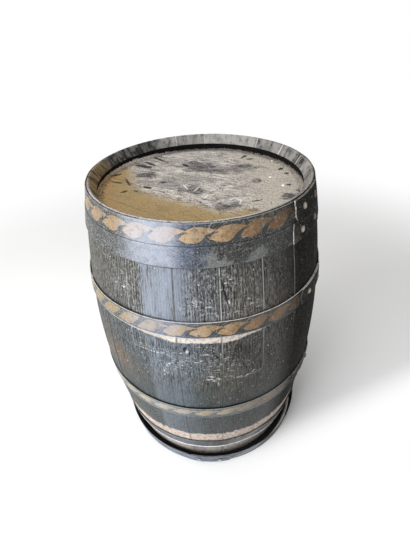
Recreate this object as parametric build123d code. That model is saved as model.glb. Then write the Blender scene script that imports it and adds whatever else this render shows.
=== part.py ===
from build123d import *
import os
from math import cos, degrees, hypot, radians, sin, sqrt

# A standing oak barrel: bowed staves, two jointed heads held in the croze, and riveted steel hoops.
# Millimetres, +Z up, origin on the floor at the barrel's axis.
# Azimuths are degrees round the axis from the front, -Y, towards +X.

# Barrel outline
barrel_height = 890.0
end_radius = 278.0
bilge_swell = 53.0

# Staves
stave_thickness = 26.0
stave_width_shares = [
    18.3, 17.4, 20.8, 21.6, 17.4, 19.0, 19.7, 17.5, 18.3, 19.3,
    13.8, 12.4, 21.0, 16.2, 16.8, 17.0, 17.0, 16.5, 21.5, 18.5,
]
first_joint_azimuth = 5.5

# Chime, the stave ends that stand past each head
chime_flat = 5.0
chime_bevel_depth = 24.0

# Heads and the croze, the groove that holds them
head_recess = 42.0
head_thickness = 22.0
head_tongue = 8.0
head_edge_bevel = 18.0
croze_depth = 6.0
croze_clearance = 0.2
board_width_shares = [0.15, 0.18, 0.165, 0.18, 0.175, 0.15]
top_head_turn = -38.0
bottom_head_turn = 24.0

# Dowels that pin the head boards edge to edge
dowel_radius = 4.0
dowel_length = 56.0
dowel_clearance = 0.1
dowel_place_share = 0.5

# Hoops
hoop_width = 45.5
hoop_thickness = 2.5
hoop_clearance = 0.15
hoop_gap = 0.6
head_hoop_setback = 2.0
upper_bilge_hoop_drop = 227.5
lower_bilge_hoop_low = 302.0
bottom_quarter_hoop_low = 92.0
loose_hoop_shift_x = 5.0
loose_hoop_shift_y = -2.0

# Lap where a hoop's two ends are riveted
lap_length = 128.0
lap_ramp = 26.0
lap_ramp_edge = 0.4
head_hoop_lap_azimuth = 42.5
top_quarter_hoop_lap_azimuth = 39.5
upper_bilge_hoop_lap_azimuth = 45.0
lower_bilge_hoop_lap_azimuth = 46.0
bottom_quarter_hoop_lap_azimuth = 62.0
loose_hoop_lap_azimuth = 9.0

# Hoop rivets
rivet_radius = 4.0
rivet_head_radius = 8.0
rivet_head_height = 4.0
rivet_end_distance = 36.0
rivet_pitch = 66.0
rivet_clearance = 0.05

# Nails left in the foot, where a hoop was held
nail_height = 28.0
nail_radius = 2.0
nail_length = 20.0
nail_head_radius = 5.0
nail_head_height = 2.2
nail_clearance = 0.05
nail_azimuths = [7.2, 51.6, 92.3, 148.5, 201.7, 250.1, 300.5, 353.0]

# Bung in the widest back stave
bung_stave = 10
bung_radius = 26.0
bung_taper_share = 0.08
bung_proud = 8.0
bung_reach = 6.0
bung_edge = 2.0
bung_clearance = 0.3

# Overrun of every cut past the face it starts from
overrun = 5.0

front_turn = -90.0
mid_height = barrel_height / 2
bilge_radius = end_radius + bilge_swell
bow_radius = (bilge_swell**2 + mid_height**2) / (2 * bilge_swell)
head_mid = barrel_height - head_recess - head_thickness / 2


# Outer radius of the bowed staves at a height
def outer_radius(z):
    return bilge_radius - bow_radius + sqrt(bow_radius**2 - (z - mid_height) ** 2)


# Growth of the outer radius per unit of height
def outer_slope(z):
    return (mid_height - z) / sqrt(bow_radius**2 - (z - mid_height) ** 2)


def inner_radius(z):
    return outer_radius(z) - stave_thickness


croze_radius = inner_radius(head_mid) + croze_depth
head_radius = croze_radius - croze_clearance
head_flat_radius = head_radius - head_edge_bevel
head_bevel_slope = (head_thickness - head_tongue) / 2 / head_edge_bevel


# Moves a shape built towards +X round to an azimuth
def turned(shape, azimuth):
    return Rot(Z=azimuth + front_turn) * shape


# Plane on a face at a radius and height, its normal square to the bowed or conical surface there
def face_plane(radius, z, slope, azimuth):
    heading = radians(azimuth + front_turn)
    lean = hypot(1, slope)
    normal = (cos(heading) / lean, sin(heading) / lean, -slope / lean)
    return Plane(origin=(radius * cos(heading), radius * sin(heading), z), z_dir=normal)


# Lip of the croze on the stave's inner face, above or below the head's middle, its wall along the head's bevel
def croze_lip(side):
    floor_half = head_tongue / 2 + croze_clearance
    near = head_mid + side * (floor_half + head_bevel_slope * croze_depth)
    depth = croze_radius - inner_radius(near)
    lip = head_mid + side * (floor_half + head_bevel_slope * depth)
    return [(inner_radius(lip), lip), (croze_radius, head_mid + side * floor_half)]


# Turned fastener: a stepped shank up to the head's rim, closed by a dome of a given rise
def domed(shank, rise):
    rim_radius, rim = shank[-1]
    dome_radius = (rim_radius**2 + rise**2) / (2 * rise)
    dome = RadiusArc((rim_radius, rim), (0, rim + rise), -dome_radius)
    axis_line = Line((0, rim + rise), shank[0])
    outline = Curve() + [Polyline(*shank), dome, axis_line]
    return revolve(Plane.XZ * make_face(outline), Axis.Z)


# Half of the chime and croze outline, from the rim down past the top head
def chime_points():
    bevel_foot = barrel_height - chime_bevel_depth
    rim = [
        (end_radius, barrel_height),
        (end_radius - chime_flat, barrel_height),
        (inner_radius(bevel_foot), bevel_foot),
    ]
    return rim + croze_lip(1) + croze_lip(-1)[::-1]


def stave_section():
    top_end = chime_points()
    bottom_end = [(r, barrel_height - z) for r, z in reversed(top_end)]
    outside = ThreePointArc((end_radius, 0), (bilge_radius, mid_height), (end_radius, barrel_height))
    inside = ThreePointArc(top_end[-1], (bilge_radius - stave_thickness, mid_height), bottom_end[0])
    outline = Curve() + [outside, Polyline(*top_end), inside, Polyline(*bottom_end)]
    return Plane.XZ * make_face(outline)


# Start azimuth and angle of each stave
def stave_angles():
    angles = []
    start = first_joint_azimuth
    for share in stave_width_shares:
        angle = share * 360 / sum(stave_width_shares)
        angles.append((start, angle))
        start += angle
    return angles


def nail_plane(azimuth):
    return face_plane(outer_radius(nail_height), nail_height, outer_slope(nail_height), azimuth)


def nail_hole(azimuth):
    depth = nail_length + nail_clearance
    radius = nail_radius + nail_clearance
    bore = Cylinder(radius, depth + overrun, align=(Align.CENTER, Align.CENTER, Align.MIN))
    return nail_plane(azimuth) * Pos(0, 0, -depth) * bore


def nail(azimuth):
    rim = nail_head_height / 2
    shank = [
        (0, -nail_length),
        (nail_radius, -nail_length),
        (nail_radius, nail_clearance),
        (nail_head_radius, nail_clearance),
        (nail_head_radius, rim),
    ]
    return nail_plane(azimuth) * domed(shank, nail_head_height - rim)


# Tapered plug along +X, with its sides moved out by a margin and its ends run on
def bung_cone(margin, outer_end, inner_end):
    outer_half = bung_radius + margin + bung_taper_share * (outer_end - bilge_radius)
    inner_half = bung_radius + margin + bung_taper_share * (inner_end - bilge_radius)
    cone = Cone(inner_half, outer_half, outer_end - inner_end, align=(Align.CENTER, Align.CENTER, Align.MIN))
    return Pos(inner_end, 0, mid_height) * Rot(Y=90) * cone


def bung_azimuth():
    start, angle = stave_angles()[bung_stave - 1]
    return start + angle / 2


def bung():
    outer_end = bilge_radius + bung_proud
    inner_end = bilge_radius - stave_thickness - bung_reach
    plug = bung_cone(0, outer_end, inner_end)
    plug = chamfer(plug.edges().group_by(Axis.X)[-1], bung_edge)
    return turned(plug, bung_azimuth())


def bung_hole():
    outer_end = bilge_radius + overrun
    inner_end = bilge_radius - stave_thickness - overrun
    return turned(bung_cone(bung_clearance, outer_end, inner_end), bung_azimuth())


def staves():
    section = stave_section()
    made = {}
    for index, (start, angle) in enumerate(stave_angles()):
        stave = turned(revolve(section, Axis.Z, revolution_arc=angle), start)
        for azimuth in nail_azimuths:
            if start < azimuth < start + angle:
                stave -= nail_hole(azimuth)
        if index == bung_stave - 1:
            stave -= bung_hole()
        made[f"stave_{index + 1:02d}"] = stave
    return made


# Joint lines between head boards, measured across the boards
def board_edges():
    edges = [-head_radius]
    for share in board_width_shares:
        edges.append(edges[-1] + 2 * head_radius * share / sum(board_width_shares))
    return edges


# Dowel places in a head: along the boards and on a joint line
def dowel_places():
    places = []
    for joint in board_edges()[1:-1]:
        reach = dowel_place_share * sqrt(head_radius**2 - joint**2)
        places += [(-reach, joint), (reach, joint)]
    return places


def dowel_set(radius, length):
    return [Pos(x, y, 0) * Rot(X=90) * Cylinder(radius, length) for x, y in dowel_places()]


def head_disc():
    half = head_thickness / 2
    points = [
        (0, half),
        (head_flat_radius, half),
        (head_radius, head_tongue / 2),
        (head_radius, -head_tongue / 2),
        (head_flat_radius, -half),
        (0, -half),
    ]
    return revolve(Plane.XZ * make_face(Polyline(*points, close=True)), Axis.Z)


def head(name, z, turn):
    disc = head_disc()
    holes = dowel_set(dowel_radius + dowel_clearance, dowel_length + 2 * dowel_clearance)
    place = Pos(0, 0, z) * Rot(Z=turn)
    edges = board_edges()
    made = {}
    for index in range(len(board_width_shares)):
        width = edges[index + 1] - edges[index]
        strip = Pos(0, edges[index] + width / 2, 0) * Box(3 * head_radius, width, 2 * head_thickness)
        board = disc & strip
        for hole in holes:
            board -= hole
        made[f"{name}_board_{index + 1}"] = place * board
    made[f"{name}_dowels"] = place * Compound(children=dowel_set(dowel_radius, dowel_length))
    return made


# Inner line of a hoop with its lower edge at a height: a straight cone that touches the bow at mid-width
def hoop_line(low):
    middle = low + hoop_width / 2
    slope = outer_slope(middle)
    at_middle = outer_radius(middle) + hoop_clearance
    return at_middle, slope


# Face across a hoop, between two depths outward of its inner line
def hoop_section(low, depth_in, depth_out):
    at_middle, slope = hoop_line(low)
    bottom = at_middle - slope * hoop_width / 2
    top = at_middle + slope * hoop_width / 2
    high = low + hoop_width
    points = [
        (bottom + depth_in, low),
        (bottom + depth_out, low),
        (top + depth_out, high),
        (top + depth_in, high),
    ]
    return Plane.XZ * make_face(Polyline(*points, close=True))


# Angle that a length takes round a hoop
def hoop_angle(low, length):
    return degrees(length / hoop_line(low)[0])


def rivet_azimuths(low, lap_azimuth):
    first = lap_azimuth + hoop_angle(low, rivet_end_distance)
    return [first, first + hoop_angle(low, rivet_pitch)]


# Plane on the lap's outer face, at a rivet
def rivet_plane(low, azimuth):
    at_middle, slope = hoop_line(low)
    return face_plane(at_middle + 2 * hoop_thickness, low + hoop_width / 2, slope, azimuth)


# Band with its outer end lapped over its inner end and drawn down to it by a ramp
def hoop(low, lap_azimuth):
    band = revolve(hoop_section(low, 0, hoop_thickness), Axis.Z)
    lap_face = hoop_section(low, hoop_thickness / 2, 2 * hoop_thickness)
    lap_angle = hoop_angle(low, lap_length)
    lap = turned(revolve(lap_face, Axis.Z, revolution_arc=lap_angle), lap_azimuth)
    ramp_foot = hoop_section(low, hoop_thickness / 2, hoop_thickness + lap_ramp_edge)
    ramp_start = lap_azimuth + lap_angle
    ramp_end = ramp_start + hoop_angle(low, lap_ramp)
    ramp = loft([turned(lap_face, ramp_start), turned(ramp_foot, ramp_end)], ruled=True)
    made = band + lap + ramp
    for azimuth in rivet_azimuths(low, lap_azimuth):
        made -= rivet_plane(low, azimuth) * Cylinder(
            rivet_radius + rivet_clearance, 2 * (2 * hoop_thickness + overrun)
        )
    return made


# Domed rivets through both layers of the lap
def rivets(low, lap_azimuth):
    slope = hoop_line(low)[1]
    grip = 2 * hoop_thickness / hypot(1, slope) - rivet_clearance
    shank = [
        (0, -grip),
        (rivet_radius, -grip),
        (rivet_radius, rivet_clearance),
        (rivet_head_radius, rivet_clearance),
    ]
    rivet = domed(shank, rivet_head_height)
    places = [rivet_plane(low, azimuth) for azimuth in rivet_azimuths(low, lap_azimuth)]
    return Compound(children=[place * rivet for place in places])


# Lower edge and lap azimuth of each hoop; the loose one is as wide as the bottom quarter hoop
def hoop_places():
    head_low = barrel_height - head_hoop_setback - hoop_width
    upper_bilge_low = barrel_height - upper_bilge_hoop_drop - hoop_width
    return {
        "top_head_hoop": (head_low, head_hoop_lap_azimuth),
        "top_quarter_hoop": (head_low - hoop_gap - hoop_width, top_quarter_hoop_lap_azimuth),
        "upper_bilge_hoop": (upper_bilge_low, upper_bilge_hoop_lap_azimuth),
        "lower_bilge_hoop": (lower_bilge_hoop_low, lower_bilge_hoop_lap_azimuth),
        "bottom_quarter_hoop": (bottom_quarter_hoop_low, bottom_quarter_hoop_lap_azimuth),
        "loose_foot_hoop": (bottom_quarter_hoop_low, -loose_hoop_lap_azimuth),
    }


# Lays the loose hoop on the floor, off the axis and with its lap run the other way
def dropped(shape, low):
    return Pos(loose_hoop_shift_x, loose_hoop_shift_y, -low) * mirror(shape, about=Plane.YZ)


def hoops():
    made = {}
    for name, (low, lap_azimuth) in hoop_places().items():
        made[name] = hoop(low, lap_azimuth)
        made[f"{name}_rivets"] = rivets(low, lap_azimuth)
        if name == "loose_foot_hoop":
            made[name] = dropped(made[name], low)
            made[f"{name}_rivets"] = dropped(made[f"{name}_rivets"], low)
    return made


nodes = {}
nodes.update(staves())
nodes.update(head("top_head", head_mid, top_head_turn))
nodes.update(head("bottom_head", barrel_height - head_mid, bottom_head_turn))
nodes.update(hoops())
nodes["foot_nails"] = Compound(children=[nail(azimuth) for azimuth in nail_azimuths])
nodes["bung"] = bung()

os.makedirs("parts", exist_ok=True)
for name, shape in nodes.items():
    export_step(shape, f"parts/{name}.step")
print(len(nodes), "nodes written")
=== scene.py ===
import math
from functools import partial
import bmesh
import bpy
import numpy as np
from mathutils import Matrix, Vector


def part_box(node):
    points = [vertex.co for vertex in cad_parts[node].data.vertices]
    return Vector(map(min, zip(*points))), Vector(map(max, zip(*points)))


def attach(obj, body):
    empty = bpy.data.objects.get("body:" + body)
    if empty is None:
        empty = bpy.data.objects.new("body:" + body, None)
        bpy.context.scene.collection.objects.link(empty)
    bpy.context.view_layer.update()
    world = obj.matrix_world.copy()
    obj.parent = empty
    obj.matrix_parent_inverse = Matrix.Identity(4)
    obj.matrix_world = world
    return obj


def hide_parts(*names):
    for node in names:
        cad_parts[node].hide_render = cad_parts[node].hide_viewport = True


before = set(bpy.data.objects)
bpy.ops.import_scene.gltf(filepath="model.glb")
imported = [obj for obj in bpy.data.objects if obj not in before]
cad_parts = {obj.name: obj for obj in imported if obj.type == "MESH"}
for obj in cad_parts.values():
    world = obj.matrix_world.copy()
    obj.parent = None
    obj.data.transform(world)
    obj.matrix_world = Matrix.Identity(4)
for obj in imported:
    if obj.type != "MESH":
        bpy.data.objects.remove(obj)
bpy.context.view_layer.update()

# the cask as a whole, in metres; angles in degrees from the front towards +X
cask = {
    "height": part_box("stave_01")[1].z,
    "endRadius": 0.278,
    "swell": 0.053,
    "staveThick": 0.026,
    "staveWidths": [18.3, 17.4, 20.8, 21.6, 17.4, 19.0, 19.7, 17.5, 18.3, 19.3,
                    13.8, 12.4, 21.0, 16.2, 16.8, 17.0, 17.0, 16.5, 21.5, 18.5],
    "firstJoint": 5.5,
}
rimZ = cask["height"]
bilgeRadius = cask["endRadius"] + cask["swell"]
bowRadius = (cask["swell"] ** 2 + (rimZ / 2) ** 2) / (2 * cask["swell"])
meanRadius = 0.31  # lengths along the wall are taken at this radius


def outerRadius(z):
    return bilgeRadius - bowRadius + np.sqrt(bowRadius ** 2 - (np.asarray(z, float) - rimZ / 2) ** 2)


def outerSlope(z):
    rise = z - rimZ / 2
    return -rise / math.sqrt(bowRadius ** 2 - rise ** 2)


def aroundAxis(radius, azimuth, z):
    return np.stack(np.broadcast_arrays(radius * np.sin(azimuth), -radius * np.cos(azimuth), z), -1)


def outward(azimuth, slope):
    return Vector((math.sin(azimuth), -math.cos(azimuth), -slope)).normalized()


def ripple(a, b, seed, waves=7):
    # smooth seeded unevenness, about -1.5 to 1.5
    rng = np.random.default_rng(seed)
    total = 0.0
    for step in range(waves):
        ka, kb = rng.normal(0, 1, 2)
        total = total + np.sin(a * ka + b * kb + rng.uniform(0, 2 * math.pi))
    return total / math.sqrt(waves / 2)


def ease(value, low, high):
    t = np.clip((np.asarray(value, float) - low) / (high - low), 0, 1)
    return t * t * (3 - 2 * t)


# shader helpers, all of them work in the node tree begun last
bench = {"tree": None}


def startMaterial(name):
    made = bpy.data.materials.new(name)
    made.use_nodes = True
    bench["tree"] = made.node_tree
    made.node_tree.nodes.clear()
    surface = addNode("BsdfPrincipled")
    addNode("OutputMaterial", {0: surface.outputs[0]})
    return made, surface


def feed(socket, value):
    if isinstance(value, bpy.types.NodeSocket):
        bench["tree"].links.new(value, socket)
    elif value is not None:
        socket.default_value = value


def addNode(kind, inputs=None, **settings):
    made = bench["tree"].nodes.new("ShaderNode" + kind)
    for key, value in settings.items():
        setattr(made, key, value)
    for key, value in (inputs or {}).items():
        feed(made.inputs[key], value)
    return made


def calc(operation, *values):
    return addNode("Math", dict(enumerate(values)), operation=operation).outputs[0]


def times(total, *others):
    for value in others:
        total = calc("MULTIPLY", total, value)
    return total


def most(total, *others):
    for value in others:
        total = calc("MAXIMUM", total, value)
    return total


plus = partial(calc, "ADD")
less = partial(calc, "SUBTRACT")
timesPlus = partial(calc, "MULTIPLY_ADD")
power = partial(calc, "POWER")
absolute = partial(calc, "ABSOLUTE")


def shake(value, noise, amount):
    return timesPlus(less(noise, 0.5), amount, value)


def spread(value, low, high, weak=0.0, full=1.0):
    # weak at low, full at high, with a soft run between
    inputs = {0: value, 1: low, 2: high, 3: weak, 4: full}
    return addNode("MapRange", inputs, interpolation_type="SMOOTHSTEP").outputs[0]


def colour(red, green, blue):
    # screen values 0-255 to linear
    made = []
    for part in (red / 255, green / 255, blue / 255):
        made.append(part / 12.92 if part <= 0.04045 else ((part + 0.055) / 1.055) ** 2.4)
    return (*made, 1.0)


def paintOf(palette, tint):
    # a palette name or screen values give a colour, what a node gives stays as it is
    tint = palette[tint] if isinstance(tint, str) else tint
    return colour(*tint) if isinstance(tint, tuple) else tint


def layers(palette, base, *coats):
    # each colour goes over the ones before it, as much as its mask says
    shade = paintOf(palette, base)
    for mask, tint in coats:
        inputs = {0: mask, 6: shade, 7: paintOf(palette, tint)}
        shade = addNode("Mix", inputs, data_type="RGBA", clamp_factor=True).outputs[2]
    return shade


def grain(place, scale, detail=3.0, rough=0.55, twist=0.0, stretch=None):
    if stretch:
        place = addNode("Mapping", {"Vector": place, "Scale": stretch}).outputs[0]
    inputs = {"Vector": place, "Scale": scale, "Detail": detail, "Roughness": rough, "Distortion": twist}
    return addNode("TexNoise", inputs).outputs[0]


def turnedPlace(place, angles):
    return addNode("Mapping", {"Vector": place, "Rotation": angles}).outputs[0]


def mark(name):
    return addNode("Attribute", attribute_name=name).outputs["Fac"]


def objectPlace():
    place = addNode("TexCoord").outputs["Object"]
    return (place, *addNode("SeparateXYZ", {0: place}).outputs)


def wallPlace():
    place, x, y, z = objectPlace()
    azimuth = calc("ARCTAN2", x, times(y, -1.0))
    return place, azimuth, z, times(azimuth, meanRadius)


def bump(height, strength, distance, normal=None):
    inputs = {"Height": height, "Strength": strength, "Distance": distance, "Normal": normal}
    return addNode("Bump", inputs).outputs[0]


def dress(surface, tint, rough, normal=None, shine=0.5):
    values = {"Base Color": tint, "Roughness": rough, "Specular IOR Level": shine, "Normal": normal}
    for key, value in values.items():
        feed(surface.inputs[key], value)


# piece helpers

def addObject(name, data):
    made = bpy.data.objects.new(name, data)
    bpy.context.scene.collection.objects.link(made)
    return made


def newMesh(name, points, faces):
    mesh = bpy.data.meshes.new(name)
    mesh.from_pydata(np.asarray(points, float).tolist(), [], faces)
    return mesh


def writeMarks(mesh, marks):
    for key, values in marks.items():
        layer = mesh.attributes.new(key, "FLOAT", "POINT")
        layer.data.foreach_set("value", np.asarray(values, np.float32).ravel())


def finishPiece(name, mesh, body, node, material, bend):
    mesh.shade_smooth()
    mesh.set_sharp_from_angle(angle=math.radians(bend))
    mesh.materials.append(material)
    made = addObject(name, mesh)
    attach(made, body)
    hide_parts(node)
    return made


def makePiece(name, points, faces, body, node, material, marks=None, bend=38):
    mesh = newMesh(name, points, faces)
    writeMarks(mesh, marks or {})
    work = bmesh.new()
    work.from_mesh(mesh)
    bmesh.ops.recalc_face_normals(work, faces=work.faces)
    bmesh.ops.triangulate(work, faces=[f for f in work.faces if len(f.verts) > 8])
    work.to_mesh(mesh)
    work.free()
    return finishPiece(name, mesh, body, node, material, bend)


def sweepFaces(sections, loop):
    # quads along a row of closed sections, with a face over each end
    faces = []
    for i in range(sections - 1):
        for k in range(loop):
            n = (k + 1) % loop
            faces.append((i * loop + k, (i + 1) * loop + k, (i + 1) * loop + n, i * loop + n))
    faces.append(tuple(range(loop)))
    faces.append(tuple((sections - 1) * loop + k for k in reversed(range(loop))))
    return faces


# painted wood of the staves, all colours as screen values
stavePaint = {
    "blue": (80, 83, 87), "reflectedBlue": (62, 78, 90), "olive": (80, 81, 75), "brown": (80, 73, 62),
    "side": (86, 79, 67), "groove": (18, 18, 18), "line": (176, 178, 178), "paintedSheen": (122, 131, 146),
    "right": (22, 20, 17), "stain": (92, 74, 54), "back": (66, 64, 59), "low": (54, 65, 64),
    "fleck": (208, 208, 206), "seamDust": (168, 169, 166), "bare": (190, 175, 165),
    "bareDark": (104, 92, 85), "pale": (208, 198, 188), "foot": (168, 160, 153),
    "footDark": (96, 90, 86), "footPaintedLight": (208, 202, 195), "brownDustLit": (236, 202, 148),
    "greyDustLit": (248, 243, 236), "chime": (154, 152, 149), "chimeDark": (48, 46, 45),
    "chimeBrown": (134, 112, 76), "rim": (188, 184, 187), "rimBrown": (142, 134, 125),
    "wall": (20, 19, 18), "scarAndShadow": (11, 11, 11),
}
# stretch of the fine grain, and the heights between which the staves change at the upper bilge hoop
staveGrain = {
    "upright": (1, 1, 0.10),
    "level": (0.3, 0.3, 1),
    "combPitch": 0.0066,
    "belowHoop": (0.64, 0.60),
    "aboveHoop": (0.60, 0.66),
}
# marks on the front staves: azimuth, height, half width, half height in metres
staveMarks = {
    "dentShade": [(-0.176, 0.579, 0.0040, 0.0070), (-0.168, 0.585, 0.0045, 0.0028)],
    "chips": [(-0.160, 0.572, 0.0030, 0.0052)],
    "stains": [(-0.86, 0.47, 0.06, 0.055)],
    "grimy": [(0.225, 0.556, 0.036, 0.030)],
    "scratches": [(-0.43, 0.554, 0.044, 0.0014), (0.25, 0.470, 0.020, 0.0022),
                  (0.052, 0.471, 0.010, 0.0014), (0.06, 0.450, 0.0018, 0.010),
                  (-0.227, 0.529, 0.0016, 0.013), (0.227, 0.518, 0.0018, 0.002)],
    "crowded": [(0.25, 0.69, 0.045, 0.022), (0.27, 0.474, 0.055, 0.009), (-0.03, 0.53, 0.07, 0.05),
                (-0.66, 0.73, 0.03, 0.03), (0.10, 0.76, 0.04, 0.02), (-0.26, 0.53, 0.035, 0.035),
                (-0.42, 0.562, 0.05, 0.010), (0.035, 0.474, 0.035, 0.010), (0.0, 0.70, 0.05, 0.02)],
}
# painted shadow in the gaps along the hoops: height, half width, azimuth where it is full and where it ends
hoopGapShadows = [
    (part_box("upper_bilge_hoop")[1].z + 0.0005, 0.0007, -0.28, -0.12),
    (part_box("lower_bilge_hoop")[1].z + 0.0005, 0.0020, -0.10, 0.45),
    (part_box("top_quarter_hoop")[0].z - 0.0025, 0.0016, -0.30, 0.10),
    (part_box("bottom_quarter_hoop")[0].z - 0.0085, 0.0028, 3.0, 3.2),
]


def spotMask(arc, z, spot, jitter, low, high):
    # one uneven spot on the curved wall
    at, tall, halfWide, halfHigh = spot
    across = times(less(arc, at * meanRadius), 1 / halfWide)
    up = times(less(z, tall), 1 / halfHigh)
    away = power(plus(times(across, across), times(up, up)), 0.5)
    return spread(plus(away, jitter), high, low)


def fleckMask(place, scale, density):
    # small ragged spots, as many of the cells as density says
    swirl = addNode("TexNoise", {"Vector": place, "Scale": 330.0, "Detail": 2.0}).outputs[1]
    bent = addNode("VectorMath", {0: swirl, 1: (0.008, 0.008, 0.008), 2: place}, operation="MULTIPLY_ADD")
    cell = addNode("TexVoronoi", {"Vector": bent.outputs[0], "Scale": scale}).outputs
    pick = addNode("SeparateColor", {0: cell["Color"]}).outputs
    size = timesPlus(power(pick[1], 3.0), 0.26, 0.12)
    shown = spread(less(density, pick[0]), 0.0, 0.03)
    return times(shown, spread(less(cell["Distance"], size), 0.05, -0.05))


def makeStavePaint():
    made, surface = startMaterial("painted_stave_oak")
    coat = partial(layers, stavePaint)
    place, azimuth, z, arc = wallPlace()
    turned = partial(spread, azimuth)
    tall = partial(spread, z)
    upright, level = staveGrain["upright"], staveGrain["level"]
    belowHoop, aboveHoop = staveGrain["belowHoop"], staveGrain["aboveHoop"]
    seam, tone, zone = mark("seam"), mark("tone"), mark("zone")
    board = times(tone, 7.0)

    def alongBoard(share):
        return addNode("CombineXYZ", {0: arc, 1: times(z, share), 2: board}).outputs[0]

    def spots(under, kind, tint, edge, low, high, *level):
        for spot in staveMarks[kind]:
            under = coat(under, (times(spotMask(arc, z, spot, edge, low, high), *level), tint))
        return under
    ridge = grain(alongBoard(0.08), 165, 4, 0.7, 0.3)
    dots = grain(place, 560, 2, 0.5, 0.0, upright)
    hair = grain(place, 340, 3, 0.65, 0.3, upright)
    streak = grain(place, 60, 3, 0.6, 0.0, (1, 1, 0.05))
    pits = grain(place, 190, 4, 0.75)
    cloud = grain(place, 15, 4, 0.6)
    broad = grain(place, 6, 3, 0.55, 0.0, (1, 1, 0.6))
    patches = grain(place, 9, 3, 0.55, 0.5, (1, 1, 0.4))
    comb = calc("SINE", timesPlus(shake(arc, ridge, 0.006), 2 * math.pi / staveGrain["combPitch"], board))
    behind = spread(absolute(azimuth), 2.1, 3.0)
    # paint blue-grey, olive and brown in patches, with painted shade on the right, on the far left and lower
    # down
    browned = most(spread(patches, 0.48, 0.66, 0, 0.85), turned(-0.5, -0.75, 0, 0.45))
    lower = spread(shake(z, cloud, 0.2), 0.48, 0.37)
    # darker just below the top quarter hoop, right of the middle
    darkBelowQuarterHoop = times(spread(shake(z, patches, 0.08), 0.765, 0.795, 0, 0.5), turned(-0.1, 0.1))
    # painted shade: the right side and the far left below the upper bilge hoop, all the wall below that hoop
    # a little, and random dark patches on the right
    shadeAndDarkPatches = most(times(turned(0.03, 0.24, 0, 0.62), tall(*belowHoop)),
               times(turned(-0.5, -0.8, 0, 0.54), tall(0.66, 0.60)),
               tall(*belowHoop, 0.14, 0.45), darkBelowQuarterHoop,
               times(spread(cloud, 0.50, 0.60, 0, 0.55), turned(-0.15, 0.1)))
    # painted reflection: a blue tint from the window below the upper bilge hoop, left of the middle
    blueReflection = times(turned(-1.0, -0.5), turned(0.05, -0.12), tall(*belowHoop, 0, 0.5),
                   tall(0.44, 0.54, 0.15, 1.0))
    # painted highlight: the window's grey-blue reflection on the stave that faces it, with a strip of
    # painted shade beside it
    pale = times(turned(-0.495, -0.450), turned(-0.02, -0.25), tall(0.58, 0.68, 0.3, 0.85),
                 spread(streak, 0.32, 0.6, 0.55, 1.0))
    shadeBesideHighlight = times(turned(-0.545, -0.530), turned(-0.485, -0.505), tall(*aboveHoop, 0, 0.45))
    paint = coat("blue", (spread(broad, 0.4, 0.6), "olive"), (browned, "brown"),
                 (turned(-0.02, 0.22, 0, 0.75), "side"), (times(lower, 0.85), "low"), (shadeAndDarkPatches, "right"),
                 (blueReflection, "reflectedBlue"), (behind, "back"), (pale, "paintedSheen"), (shadeBesideHighlight, "groove"))
    # open grain: dark grooves with light ridges between, calmer under the painted highlight and lower down
    rough = spread(pale, 0.2, 0.8, 1.0, 0.18)
    calm = times(tall(0.40, 0.64, 0.25, 1.0), rough)
    still = times(tall(0.38, 0.50, 0.45, 1.0), rough)
    combing = timesPlus(tall(*aboveHoop, 0.02, 0.09), turned(0.4, 0.1),
                        spread(broad, 0.35, 0.55, 0.02, 0.07))
    combed = timesPlus(comb, combing, ridge)
    openGrain = times(spread(combed, 0.50, 0.66, 0, 0.6), calm)
    light = most(times(spread(combed, 0.48, 0.34, 0, 0.6), spread(pits, 0.38, 0.6, 0.5, 1.0)),
                 times(spread(pits, 0.56, 0.68), tall(*belowHoop, 0.25, 0.6)),
                 spread(dots, 0.56, 0.66, 0, 0.75), spread(hair, 0.44, 0.34, 0, 0.4))
    light = times(light, turned(0.48, 0.15, 0.5, 1.0), tall(*aboveHoop, 0.45, 0.64),
                  turned(-0.66, -0.5, 0.45, 1.0), calm)
    hairs = times(spread(hair, 0.54, 0.66, 0, 0.6), still)
    hollow = times(most(times(spread(pits, 0.47, 0.36), spread(cloud, 0.35, 0.6, 0.1, 0.45)),
                        spread(dots, 0.46, 0.36, 0, 0.85)), still)
    # painted shade: the right side goes near black, fading out towards the back
    right = times(turned(0.45, 0.80), turned(2.95, 2.0), spread(pits, 0.35, 0.65, 1.0, 0.78))
    paint = coat(paint, (openGrain, "groove"), (light, "line"), (hairs, "groove"), (hollow, "groove"),
                 (right, "right"))
    # flecks and short scratches down to bare wood, thick in some places
    jitter = times(less(cloud, 0.5), 1.2)
    ragged = times(less(pits, 0.5), 1.6)
    paint = spots(paint, "stains", "stain", jitter, 0.2, 1.4, spread(pits, 0.4, 0.6, 0.3, 0.8))
    paint = spots(paint, "grimy", "right", jitter, 0.5, 1.3, 0.5)
    crowd = most(*[spotMask(arc, z, spot, jitter, 0.3, 1.5) for spot in staveMarks["crowded"]])
    density = times(timesPlus(crowd, 0.28, spread(cloud, 0.40, 0.66, 0.06, 0.3)),
                    turned(0.75, 0.45, 0.2, 1.0), tall(0.36, 0.45, 0.15, 1.0), tall(0.66, 0.60, 1.0, 1.6))
    nick = grain(place, 210, 3, 0.6, 0.6, level)
    fleck = most(fleckMask(place, 190, times(density, 0.4)), times(fleckMask(place, 290, density), 0.75),
                 times(spread(nick, 0.57, 0.65), crowd))
    paint = coat(paint, (times(fleck, spread(pits, 0.35, 0.6, 0.25, 0.95)), "fleck"))
    paint = spots(paint, "scratches", "fleck", ragged, 0.5, 1.5, spread(dots, 0.40, 0.60, 0.0, 0.75))
    # a small dent: painted shade on its upper left, and below it a white paint chip with a painted highlight
    paint = spots(paint, "dentShade", "scarAndShadow", ragged, 0.7, 1.3)
    paint = spots(paint, "chips", "fleck", ragged, 0.7, 1.3, 0.6)
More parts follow.
